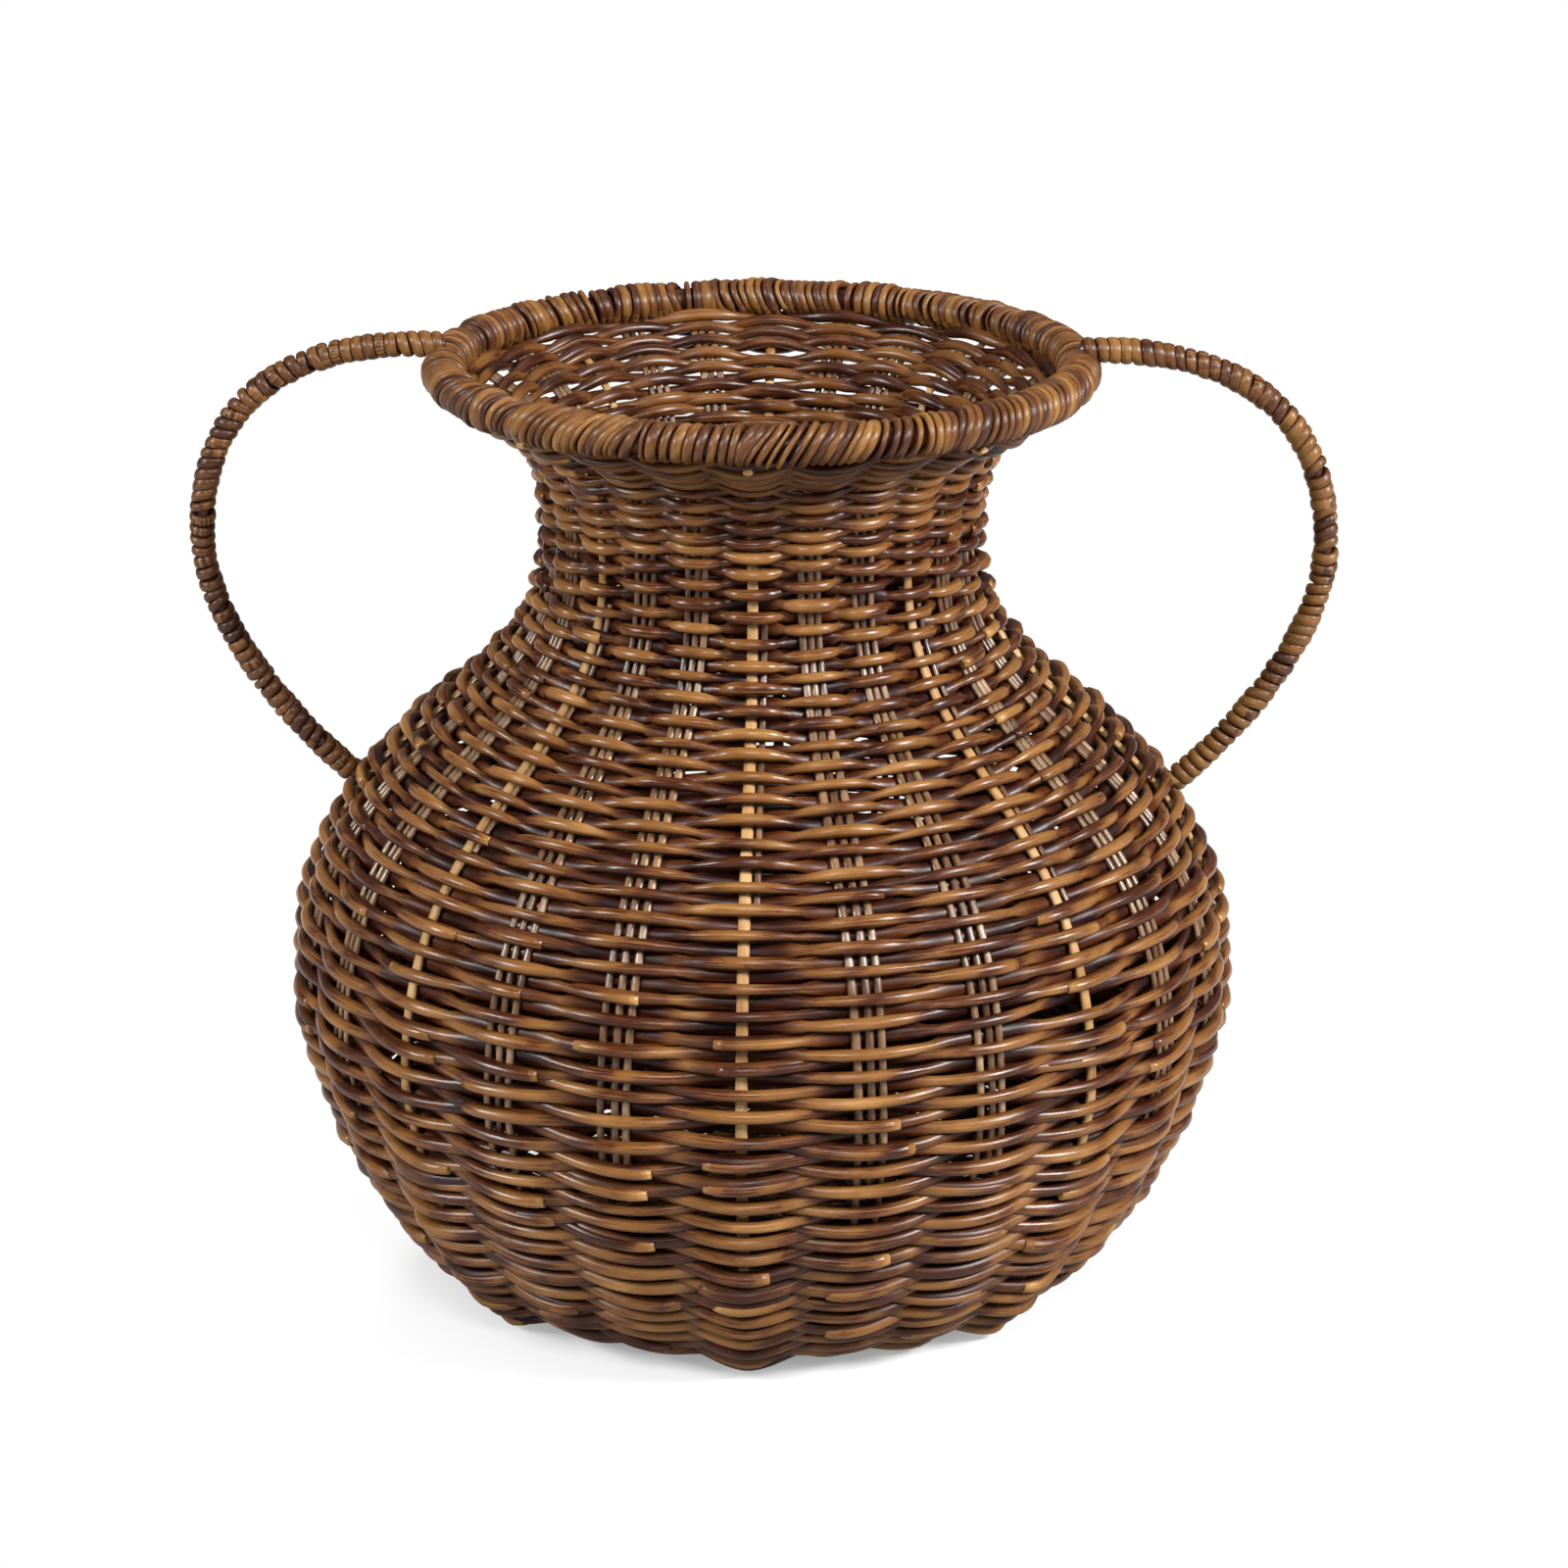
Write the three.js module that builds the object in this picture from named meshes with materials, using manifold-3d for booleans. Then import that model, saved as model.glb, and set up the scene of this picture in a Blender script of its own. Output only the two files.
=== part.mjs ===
// Woven rattan vase with a bound rim and two bound ear handles.
// Millimetres, +Z up, origin on the ground under the middle of the base, handles along X.
import * as THREE from "three";
import { mergeVertices } from "three/addons/utils/BufferGeometryUtils.js";
import Module from "manifold-3d";

// Stake line: the middle of the woven wall, as radii and heights
const FOOT_RADIUS = 95;
const FOOT_ANGLE = 30; // degrees above level, where the wall leaves the base
const BELLY_RADIUS = 140.5;
const BELLY_HEIGHT = 92;
const NECK_RADIUS = 62.7;
const NECK_HEIGHT = 232;
const COLLAR_ANGLE = 50; // degrees above level, where the collar runs up to the rim

// How far the stake line keeps its direction on each side of those places
const FOOT_RUN = 33;
const HEEL_RISE = 12;
const SHOULDER_RISE = 85;
const THROAT_RISE = 60;
const NECK_RISE = 40;
const COLLAR_RUN = 12;

// Canes of the wall
const WEAVER_DIAMETER = 3.8;
const FRAME_STAKE_WIDTH = 3.6; // a flat cane
const FRAME_STAKE_THICKNESS = 2;
const THIN_STAKE_DIAMETER = 2.3;
const THIN_STAKES_PER_BUNDLE = 3;
const STAKE_PLACES = 24;
const FRAME_STAKE_EVERY = 3; // every third place holds a frame stake, the others a bundle

// Base
const SOCKET_DEPTH = 14; // how far the stakes run into the edge of the base
const BASE_DISH = 2; // rise of the underside at its middle
const STANDING_RADIUS = 80; // outside of the flat ring that the vase stands on
const STANDING_WIDTH = 36;
const FOOT_LIFT = 1.4; // the wall stays this far above the ground

// Rim
const RIM_RADIUS = 94.2;
const RIM_HEIGHT = 282;
const HOOP_DIAMETER = 7.5;
const RIM_BINDING_THICKNESS = 1.8;
const RIM_TURNS = 17; // in each half, between the two handles

// Handles
const HANDLE_CORE_DIAMETER = 4;
const HANDLE_BINDING_THICKNESS = 1.3;
const HANDLE_TURNS = 20;
const HANDLE_REACH = 169;
const HANDLE_REACH_HEIGHT = 228;
const HANDLE_FOOT_HEIGHT = 151; // where the handle meets the stake line of the wall
const HANDLE_TOP_RUN = 49;
const HANDLE_CROWN_DROP = 35;
const HANDLE_SIDE_DROP = 30;
const HANDLE_FOOT_RUN = 20;

// Fits
const CLEARANCE = 0.3; // between pieces that touch
const TURN_GAP = 0.7; // between neighbouring turns of a binding

// Fineness of the solids
const STEPS_PER_TURN = 8;
const HOOP_STEPS = 32;
const HANDLE_STEPS = 22;
const CORE_SIDES = 6;
const BASE_STEPS = 24;

const stakeHalf = FRAME_STAKE_THICKNESS / 2;
const handleCoreRadius = HANDLE_CORE_DIAMETER / 2;
const hoopRadius = HOOP_DIAMETER / 2;
const crest = stakeHalf + WEAVER_DIAMETER; // half the wall over a stake
const valley = WEAVER_DIAMETER / 2; // half the wall between two stakes
const footHeight = crest + FOOT_LIFT;
const placeAngle = (2 * Math.PI) / STAKE_PLACES;

// A binding lies round its core as a polygon, so its inner corners stand off a little further
const bindingInside = (coreRadius) => (coreRadius + CLEARANCE) / Math.cos(Math.PI / STEPS_PER_TURN);
const rimOutside = bindingInside(hoopRadius) + RIM_BINDING_THICKNESS;

const weaveFinish = new THREE.MeshStandardMaterial({ color: 0x6e4522, roughness: 0.5, metalness: 0 });
const frameStakeFinish = new THREE.MeshStandardMaterial({ color: 0xc79c5e, roughness: 0.6, metalness: 0 });
const thinStakeFinish = new THREE.MeshStandardMaterial({ color: 0x8f7048, roughness: 0.6, metalness: 0 });
const bindingFinish = new THREE.MeshStandardMaterial({ color: 0x80552a, roughness: 0.45, metalness: 0 });
const coreFinish = new THREE.MeshStandardMaterial({ color: 0x9c6c38, roughness: 0.6, metalness: 0 });

const { Manifold, Mesh: ManifoldMesh } = await loadManifold();
const vase = new THREE.Group();
vase.name = "woven_vase";

async function loadManifold() {
  const wasm = await Module();
  wasm.setup();
  return wasm;
}

function addPiece(name, geometry, material, turn = 0) {
  const mesh = new THREE.Mesh(geometry, material);
  mesh.name = name;
  mesh.rotation.z = turn;
  vase.add(mesh);
}

// A closed geometry from corner points and triangles that index them
function geometryOf(points, triangles) {
  const geometry = new THREE.BufferGeometry().setFromPoints(points);
  geometry.setIndex(triangles);
  geometry.computeVertexNormals();
  return geometry;
}

// A closed body through rings of equally many points, closed by a fan at each end
function loft(rings) {
  const count = rings[0].length;
  const triangles = [];
  for (let ring = 0; ring + 1 < rings.length; ring++) {
    for (let i = 0; i < count; i++) {
      const a = ring * count + i;
      const b = ring * count + ((i + 1) % count);
      triangles.push(a, b + count, b, a, a + count, b + count);
    }
  }
  const last = (rings.length - 1) * count;
  for (let i = 1; i + 1 < count; i++) {
    triangles.push(0, i, i + 1, last, last + i + 1, last + i);
  }
  return geometryOf(rings.flat(), triangles);
}

// Stake line

// Three curves in radius and height: foot to belly, belly to neck, neck to rim
function stakeLineCurves() {
  const point = (radius, height) => new THREE.Vector2(radius, height);
  const way = (degrees) => point(1, 0).rotateAround(point(0, 0), THREE.MathUtils.degToRad(degrees));
  const collarWay = way(COLLAR_ANGLE);
  const mouth = point(RIM_RADIUS, RIM_HEIGHT).addScaledVector(collarWay, -rimOutside - CLEARANCE);
  const heel = new THREE.CubicBezierCurve(
    point(FOOT_RADIUS, footHeight),
    point(FOOT_RADIUS, footHeight).addScaledVector(way(FOOT_ANGLE), FOOT_RUN),
    point(BELLY_RADIUS, BELLY_HEIGHT - HEEL_RISE),
    point(BELLY_RADIUS, BELLY_HEIGHT),
  );
  const shoulder = new THREE.CubicBezierCurve(
    point(BELLY_RADIUS, BELLY_HEIGHT),
    point(BELLY_RADIUS, BELLY_HEIGHT + SHOULDER_RISE),
    point(NECK_RADIUS, NECK_HEIGHT - THROAT_RISE),
    point(NECK_RADIUS, NECK_HEIGHT),
  );
  const neck = new THREE.CubicBezierCurve(
    point(NECK_RADIUS, NECK_HEIGHT),
    point(NECK_RADIUS, NECK_HEIGHT + NECK_RISE),
    mouth.clone().addScaledVector(collarWay, -COLLAR_RUN),
    mouth,
  );
  return { heel, shoulder, neck };
}

// A place on the stake line, with its direction and the way out of the vase
function stationAt(curve, t) {
  const place = curve.getPoint(t);
  const along = curve.getTangent(t);
  return { place, along, out: new THREE.Vector2(along.y, -along.x) };
}

function slide(station, distance) {
  return { ...station, place: station.place.clone().addScaledVector(station.along, distance) };
}

const curves = stakeLineCurves();
const stations = [
  ...[0, 0.25, 0.5, 0.75].map((t) => stationAt(curves.heel, t)),
  ...[0, 0.09, 0.18, 0.28, 0.39, 0.51, 0.63, 0.82].map((t) => stationAt(curves.shoulder, t)),
  ...[0, 0.36, 0.7, 1].map((t) => stationAt(curves.neck, t)),
];

// The point of the stake line at a height above the belly and below the neck
function stationAtHeight(height) {
  let low = 0;
  let high = 1;
  for (let halving = 0; halving < 40; halving++) {
    const middle = (low + high) / 2;
    if (curves.shoulder.getPoint(middle).y < height) low = middle;
    else high = middle;
  }
  return stationAt(curves.shoulder, low);
}

// Stakes

const isFrameStake = (place) => place % FRAME_STAKE_EVERY === 0;

// Half width and half thickness of the canes that stand at a place
function stakeHalves(place) {
  if (isFrameStake(place)) return { wide: FRAME_STAKE_WIDTH / 2, deep: stakeHalf };
  const half = THIN_STAKE_DIAMETER / 2;
  return { wide: half * THIN_STAKES_PER_BUNDLE, deep: half };
}

// Six-sided section, across the stake and out of the wall: a flat cane, or round canes side by side
function stakeSection({ wide, deep }) {
  const flat = wide - deep / 2;
  return [
    [wide, 0],
    [flat, deep],
    [-flat, deep],
    [-wide, 0],
    [-flat, -deep],
    [flat, -deep],
  ];
}

function sweepSection(section, path) {
  return loft(
    path.map(({ place, out }) =>
      section.map(([across, outward]) => {
        const radius = place.x + outward * out.x;
        return new THREE.Vector3(radius, across, place.y + outward * out.y);
      }),
    ),
  );
}

// A place on the level run of the stakes inside the base
function baseStation(radius) {
  return { place: new THREE.Vector2(radius, footHeight), out: new THREE.Vector2(0, -1) };
}

function stakeGeometry(place) {
  const path = [baseStation(FOOT_RADIUS - SOCKET_DEPTH), ...stations];
  return sweepSection(stakeSection(stakeHalves(place)), path);
}

function addStakes() {
  const frameStake = stakeGeometry(0);
  const bundle = stakeGeometry(1);
  const made = { frame: 0, bundle: 0 };
  for (let place = 0; place < STAKE_PLACES; place++) {
    const turn = place * placeAngle;
    if (isFrameStake(place)) addPiece(`frame_stake_${++made.frame}`, frameStake, frameStakeFinish, turn);
    else addPiece(`stake_bundle_${++made.bundle}`, bundle, thinStakeFinish, turn);
  }
}

// Woven wall

// A frame stake's groove also takes the end of a handle's core
function grooveAt(place) {
  const { wide, deep } = stakeHalves(place);
  const core = isFrameStake(place) ? handleCoreRadius : 0;
  return { wide: Math.max(wide, core) + CLEARANCE, floor: -deep - CLEARANCE };
}

function wallPoint({ place, out }, angle, across, outward) {
  const point = new THREE.Vector3(place.x + outward * out.x, across, place.y + outward * out.y);
  return point.applyAxisAngle(new THREE.Vector3(0, 0, 1), angle);
}

// One level of the wall: at each stake two lips and a groove outside and a crest inside, then a valley
const OUTER_POINTS = 5;
const INNER_POINTS = 2;
function wallRing(station) {
  const outer = [];
  const inner = [];
  for (let place = 0; place < STAKE_PLACES; place++) {
    const angle = place * placeAngle;
    const between = angle + placeAngle / 2;
    const groove = grooveAt(place);
    outer.push(
      wallPoint(station, angle, -groove.wide, crest),
      wallPoint(station, angle, -groove.wide, groove.floor),
      wallPoint(station, angle, groove.wide, groove.floor),
      wallPoint(station, angle, groove.wide, crest),
      wallPoint(station, between, 0, valley),
    );
    inner.push(wallPoint(station, angle, 0, -crest), wallPoint(station, between, 0, -valley));
  }
  return [...outer, ...inner];
}

// Triangles that close one end of the wall, wound to face along the stake line
function wallEnd(first) {
  const outerCount = OUTER_POINTS * STAKE_PLACES;
  const triangles = [];
  for (let place = 0; place < STAKE_PLACES; place++) {
    const before = (place + STAKE_PLACES - 1) % STAKE_PLACES;
    const [lipA, floorA, floorB, lipB, dip] = [0, 1, 2, 3, 4].map((k) => first + place * OUTER_POINTS + k);
    const dipBefore = first + before * OUTER_POINTS + 4;
    const rib = first + outerCount + place * INNER_POINTS;
    const hollow = rib + 1;
    const hollowBefore = first + outerCount + before * INNER_POINTS + 1;
    triangles.push(dipBefore, lipA, hollowBefore, lipA, floorA, hollowBefore, floorA, rib, hollowBefore);
    triangles.push(floorA, floorB, rib, floorB, hollow, rib, floorB, lipB, hollow, lipB, dip, hollow);
  }
  return triangles;
}

function wallGeometry(path) {
  const rings = path.map(wallRing);
  const outerCount = OUTER_POINTS * STAKE_PLACES;
  const innerCount = INNER_POINTS * STAKE_PLACES;
  const count = outerCount + innerCount;
  const triangles = [];
  for (let ring = 0; ring + 1 < rings.length; ring++) {
    for (let i = 0; i < outerCount; i++) {
      const a = ring * count + i;
      const b = ring * count + ((i + 1) % outerCount);
      triangles.push(a, b, b + count, a, b + count, a + count);
    }
    for (let i = 0; i < innerCount; i++) {
      const a = ring * count + outerCount + i;
      const b = ring * count + outerCount + ((i + 1) % innerCount);
      triangles.push(a, b + count, b, a, a + count, b + count);
    }
  }
  triangles.push(...wallEnd(0).reverse(), ...wallEnd((rings.length - 1) * count));
  return geometryOf(rings.flat(), triangles);
}

// The wall is woven in courses, each between two stations of the stake line
function addWovenWall() {
  const courses = [
    ["weave_foot", 0, 2],
    ["weave_lower_belly", 2, 4],
    ["weave_upper_belly", 4, 7],
    ["weave_shoulder", 7, 10],
    ["weave_neck", 10, 12],
    ["weave_collar", 12, 15],
  ];
  for (const [name, from, to] of courses) {
    const path = stations.slice(from, to + 1);
    if (from > 0) path[0] = slide(path[0], CLEARANCE / 2);
    if (to < stations.length - 1) path[path.length - 1] = slide(path[path.length - 1], -CLEARANCE / 2);
    addPiece(name, wallGeometry(path), weaveFinish);
  }
}

// Base

function solidOf(geometry) {
  const bare = geometry.clone();
  bare.deleteAttribute("normal");
  bare.deleteAttribute("uv");
  const merged = mergeVertices(bare, 1e-3);
  const vertProperties = new Float32Array(merged.attributes.position.array);
  return new Manifold(new ManifoldMesh({ numProp: 3, vertProperties, triVerts: new Uint32Array(merged.index.array) }));
}

function geometryOfSolid(solid) {
  const { vertProperties, triVerts } = solid.getMesh();
  const geometry = new THREE.BufferGeometry();
  geometry.setAttribute("position", new THREE.BufferAttribute(vertProperties, 3));
  geometry.setIndex(new THREE.BufferAttribute(triVerts, 1));
  return geometry;
}

// The space that the canes at a place need in the edge of the base
function socketGeometry(place) {
  const { wide, deep } = stakeHalves(place);
  const section = stakeSection({ wide: wide + CLEARANCE, deep: deep + CLEARANCE });
  const inside = baseStation(FOOT_RADIUS - SOCKET_DEPTH - CLEARANCE);
  return sweepSection(section, [inside, baseStation(FOOT_RADIUS + 2 * crest)]);
}

// A dished disc with one socket for each stake. Its edge draws in below the stakes, and above them it is
// square to the wall that starts there.
function addBase() {
  const lean = Math.tan(THREE.MathUtils.degToRad(FOOT_ANGLE));
  const edgeAt = (height) => FOOT_RADIUS - CLEARANCE - (height - footHeight) * lean;
  const top = footHeight + crest;
  const outline = [
    [0, BASE_DISH],
    [STANDING_RADIUS - STANDING_WIDTH, 0],
    [STANDING_RADIUS, 0],
    [edgeAt(footHeight), footHeight],
    [edgeAt(top), top],
    [0, top],
  ];
  const disc = new THREE.LatheGeometry(
    outline.map(([radius, height]) => new THREE.Vector2(radius, height)),
    BASE_STEPS,
  ).rotateX(Math.PI / 2);
  let base = solidOf(disc);
  for (let place = 0; place < STAKE_PLACES; place++) {
    base = base.subtract(solidOf(socketGeometry(place).rotateZ(place * placeAngle)));
  }
  addPiece("base_weave", geometryOfSolid(base), weaveFinish);
}

// Bindings

// A band wound round a core that lies in one plane. Its section stands in the plane through the core's
// centre line: two corners on the core, then the backs of two strands with a dip between them.
function windBinding(core, planeNormal, from, to, turns, coreRadius, thickness) {
  const length = core.getLength();
  const pitch = (to - from + TURN_GAP) / (turns + 1);
  const width = pitch - TURN_GAP;
  const inside = bindingInside(coreRadius);
  const outside = inside + thickness;
  const section = [
    [-width / 2, inside],
    [-width / 3, outside],
    [0, inside + thickness / 2],
    [width / 3, outside],
    [width / 2, inside],
  ];
  const rings = [];
  for (let step = 0; step <= turns * STEPS_PER_TURN; step++) {
    const angle = (step / STEPS_PER_TURN) * 2 * Math.PI;
    const middle = from + width / 2 + (step / STEPS_PER_TURN) * pitch;
    rings.push(
      section.map(([along, radius]) => {
        const share = (middle + along) / length;
        const normal = new THREE.Vector3().crossVectors(planeNormal, core.getTangentAt(share));
        return core
          .getPointAt(share)
          .addScaledVector(normal, radius * Math.cos(angle))
          .addScaledVector(planeNormal, radius * Math.sin(angle));
      }),
    );
  }
  return rings;
}

// Least distance between the facing edges of neighbouring turns
function leastTurnGap(rings) {
  let least = Infinity;
  for (let step = 0; step + STEPS_PER_TURN < rings.length; step++) {
    const next = rings[step + STEPS_PER_TURN];
    const here = rings[step].slice(-2);
    for (const a of here) for (const b of next.slice(0, 2)) least = Math.min(least, a.distanceTo(b));
  }
  return least;
}

// Half of the hoop's centre line, from one handle round to the other
class HalfHoop extends THREE.Curve {
  getPoint(t, target = new THREE.Vector3()) {
    return target.set(RIM_RADIUS * Math.cos(Math.PI * t), RIM_RADIUS * Math.sin(Math.PI * t), RIM_HEIGHT);
  }
}

// Rim

function addRim() {
  const hoop = new THREE.TorusGeometry(RIM_RADIUS, hoopRadius, STEPS_PER_TURN, HOOP_STEPS);
  addPiece("rim_hoop", hoop.translate(0, 0, RIM_HEIGHT), coreFinish);
  const half = new HalfHoop();
  const handleRoom = handleCoreRadius + CLEARANCE;
  const rings = windBinding(
    half,
    new THREE.Vector3(0, 0, 1),
    handleRoom,
    half.getLength() - handleRoom,
    RIM_TURNS,
    hoopRadius,
    RIM_BINDING_THICKNESS,
  );
  console.log(`rim binding: least gap between turns ${leastTurnGap(rings).toFixed(2)} mm`);
  addPiece("rim_binding_back", loft(rings), bindingFinish);
  addPiece("rim_binding_front", loft(rings), bindingFinish, Math.PI);
}

// Handles

// From over the hoop, out level, round and down, and square into the groove of a frame stake
function handlePath() {
  const point = (x, z) => new THREE.Vector3(x, 0, z);
  const topHeight = RIM_HEIGHT + hoopRadius + CLEARANCE + handleCoreRadius;
  const rimSide = RIM_RADIUS + rimOutside;
  const wall = stationAtHeight(HANDLE_FOOT_HEIGHT);
  const footAt = (distance) => {
    const place = wall.place.clone().addScaledVector(wall.out, stakeHalf + CLEARANCE + distance);
    return point(place.x, place.y);
  };
  const path = new THREE.CurvePath();
  path.add(new THREE.LineCurve3(point(RIM_RADIUS, topHeight), point(rimSide, topHeight)));
  path.add(
    new THREE.CubicBezierCurve3(
      point(rimSide, topHeight),
      point(rimSide + HANDLE_TOP_RUN, topHeight),
      point(HANDLE_REACH, HANDLE_REACH_HEIGHT + HANDLE_CROWN_DROP),
      point(HANDLE_REACH, HANDLE_REACH_HEIGHT),
    ),
  );
  path.add(
    new THREE.CubicBezierCurve3(
      point(HANDLE_REACH, HANDLE_REACH_HEIGHT),
      point(HANDLE_REACH, HANDLE_REACH_HEIGHT - HANDLE_SIDE_DROP),
      footAt(HANDLE_FOOT_RUN),
      footAt(0),
    ),
  );
  return path;
}

function addHandles() {
  const path = handlePath();
  const round = new THREE.Shape().absarc(0, 0, handleCoreRadius, 0, 2 * Math.PI);
  const core = new THREE.ExtrudeGeometry(round, {
    steps: HANDLE_STEPS,
    curveSegments: CORE_SIDES / 2, // a full circle is cut into twice as many sides
    bevelEnabled: false,
    extrudePath: path,
  });
  const wallFace = crest - stakeHalf - CLEARANCE; // from the core's end up to the face of the weave
  const rings = windBinding(
    path,
    new THREE.Vector3(0, 1, 0),
    rimOutside + CLEARANCE,
    path.getLength() - wallFace - 2 * CLEARANCE,
    HANDLE_TURNS,
    handleCoreRadius,
    HANDLE_BINDING_THICKNESS,
  );
  console.log(`handle binding: least gap between turns ${leastTurnGap(rings).toFixed(2)} mm`);
  const binding = loft(rings);
  for (const [side, turn] of [["right", 0], ["left", Math.PI]]) {
    addPiece(`handle_core_${side}`, core, coreFinish, turn);
    addPiece(`handle_binding_${side}`, binding, bindingFinish, turn);
  }
}

addBase();
addStakes();
addWovenWall();
addRim();
addHandles();

export default vase;
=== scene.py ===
import math

import bpy
import numpy as np
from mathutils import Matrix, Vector


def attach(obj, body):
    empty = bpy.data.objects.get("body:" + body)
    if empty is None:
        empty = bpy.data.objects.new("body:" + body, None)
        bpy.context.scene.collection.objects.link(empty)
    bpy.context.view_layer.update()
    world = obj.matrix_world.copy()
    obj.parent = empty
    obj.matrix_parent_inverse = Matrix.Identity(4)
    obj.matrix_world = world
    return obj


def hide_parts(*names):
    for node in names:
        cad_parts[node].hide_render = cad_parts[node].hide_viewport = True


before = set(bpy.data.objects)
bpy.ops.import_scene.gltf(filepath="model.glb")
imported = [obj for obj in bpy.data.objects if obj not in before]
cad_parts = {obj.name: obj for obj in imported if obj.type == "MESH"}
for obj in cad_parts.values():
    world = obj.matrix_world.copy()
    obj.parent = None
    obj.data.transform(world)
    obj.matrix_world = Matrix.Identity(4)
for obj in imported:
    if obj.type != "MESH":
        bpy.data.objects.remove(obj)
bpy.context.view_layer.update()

dice = np.random.default_rng(11)  # same throws on every run
mm = 0.001
fullTurn = 2 * np.pi
print("frame loaded,", len(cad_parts), "nodes")


# Helpers for the finishes

def newFinish(name):
    finish = bpy.data.materials.new(name)
    finish.use_nodes = True
    finish.node_tree.nodes.clear()
    return finish, finish.node_tree


def addNode(tree, kind, **inputs):
    made = tree.nodes.new(kind)
    for key, value in inputs.items():
        if key.startswith("set_"):
            setattr(made, key[4:], value)
        else:
            made.inputs[key.replace("_", " ")].default_value = value
    return made


def feed(tree, socket, value):
    if hasattr(value, "node"):
        tree.links.new(value, socket)
    else:
        socket.default_value = value


def addMath(tree, kind, a, b=0.0):
    made = tree.nodes.new("ShaderNodeMath")
    made.operation = kind
    feed(tree, made.inputs[0], a)
    feed(tree, made.inputs[1], b)
    return made.outputs[0]


def addRamp(tree, factor, stops):
    made = tree.nodes.new("ShaderNodeValToRGB")
    while len(made.color_ramp.elements) < len(stops):
        made.color_ramp.elements.new(0.5)
    for element, (place, colour) in zip(made.color_ramp.elements, stops):
        element.position = place
        element.color = (*colour, 1)
    tree.links.new(factor, made.inputs[0])
    return made.outputs[0]


# what all the cane finishes share. Rates are per centimetre along a rod and per radius of its section, the
# bump's depth is in metres, and a strand's number times seed and ownTone sets its place and its tone
grain = dict(
    noiseRough=0.58, seed=37.0, ownTone=13.7, patchDetail=2.0,
    fibreAlong=0.7, fibreRound=4.2, fibreDetail=3.0, fleckAlong=4.0, fleckRound=1.5, fleckDetail=2.0,
    bumpDepth=0.0003, roughSpread=0.24, shadeDull=0.12, coatRough=0.22,
)


# cane: stain runs along each rod in patches with ragged ends, fine fibres run with it, and painted shade
# darkens the crossings and the gaps between the rods, by a per-point shade attribute that is pale below 0
def caneFinish(name, look):
    finish, tree = newFinish(name)
    link = tree.links.new

    def times(a, b):
        return addMath(tree, "MULTIPLY", a, b)

    def plus(a, b):
        return addMath(tree, "ADD", a, b)

    def noise(x, y, z, detail):
        place = addNode(tree, "ShaderNodeCombineXYZ")
        for slot, value in enumerate((x, y, z)):
            feed(tree, place.inputs[slot], value)
        made = addNode(tree, "ShaderNodeTexNoise", Scale=1.0, Detail=detail, Roughness=grain["noiseRough"])
        link(place.outputs[0], made.inputs["Vector"])
        return made.outputs["Fac"]

    def shift(value, share):
        return times(plus(value, -0.5), share)

    # noise on the rod's skin: along its length and round it, each rod in its own place
    def onSkin(alongRate, roundRate, detail):
        z = plus(times(beside, roundRate), seed)
        return noise(times(length, alongRate), times(across, roundRate), z, detail)

    uv = addNode(tree, "ShaderNodeUVMap", set_uv_map="lengthAndTurn")
    parts = addNode(tree, "ShaderNodeSeparateXYZ")
    link(uv.outputs[0], parts.inputs[0])
    length = parts.outputs[0]  # centimetres along the rod
    turn = times(parts.outputs[1], fullTurn)
    across = addMath(tree, "COSINE", turn)
    beside = addMath(tree, "SINE", turn)
    strand = addNode(tree, "ShaderNodeAttribute", set_attribute_name="strand").outputs["Fac"]
    # painted shade from the mesh: 0 in the open, 1 in the crossings and gaps; below 0 it marks the pale cut
    # tips
    shadeAndPaleTip = addNode(tree, "ShaderNodeAttribute", set_attribute_name="shadeAndPaleTip").outputs["Fac"]

    seed = times(strand, grain["seed"])
    lean = plus(length, times(beside, look["tongue"]))  # a patch ends in a slanted tongue
    patch = noise(times(lean, look["patchesPerCm"]), seed, 0.0, grain["patchDetail"])
    fibre = onSkin(grain["fibreAlong"], grain["fibreRound"], grain["fibreDetail"])
    fleck = onSkin(grain["fleckAlong"], grain["fleckRound"], grain["fleckDetail"])
    ownTone = addMath(tree, "FRACT", times(strand, grain["ownTone"]))
    tone = plus(patch, shift(fibre, look["fibre"]))
    tone = plus(tone, shift(fleck, look["fleck"]))
    tone = plus(tone, shift(ownTone, look["strandSpread"]))
    # painted shade darkens the tone, and below 0 the pale cut tips get lighter
    tone = plus(tone, times(shadeAndPaleTip, -look["shadeTone"]))
    # painted shade: the colour is multiplied toward the dark shade colour by the shade attribute
    shade = addNode(tree, "ShaderNodeMix", set_data_type="RGBA", set_blend_type="MULTIPLY")
    link(times(shadeAndPaleTip, look["shadeMix"]), shade.inputs[0])
    link(addRamp(tree, tone, look["stops"]), shade.inputs[6])
    shade.inputs[7].default_value = (*look["paintedShade"], 1)
    bump = addNode(tree, "ShaderNodeBump", Strength=look["bump"], Distance=grain["bumpDepth"])
    link(fibre, bump.inputs["Height"])
    skin = addNode(tree, "ShaderNodeBsdfPrincipled")
    link(shade.outputs[2], skin.inputs["Base Color"])
    dull = times(addMath(tree, "MAXIMUM", shadeAndPaleTip, 0.0), grain["shadeDull"])  # the crossings with painted shade shine less
    rough = plus(plus(shift(fibre, grain["roughSpread"]), look["rough"]), dull)
    link(rough, skin.inputs["Roughness"])
    link(bump.outputs[0], skin.inputs["Normal"])
    skin.inputs["Specular IOR Level"].default_value = look["gloss"]
    skin.inputs["Coat Weight"].default_value = look["coat"]
    skin.inputs["Coat Roughness"].default_value = grain["coatRough"]
    out = addNode(tree, "ShaderNodeOutputMaterial")
    link(skin.outputs[0], out.inputs[0])
    return finish


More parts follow.
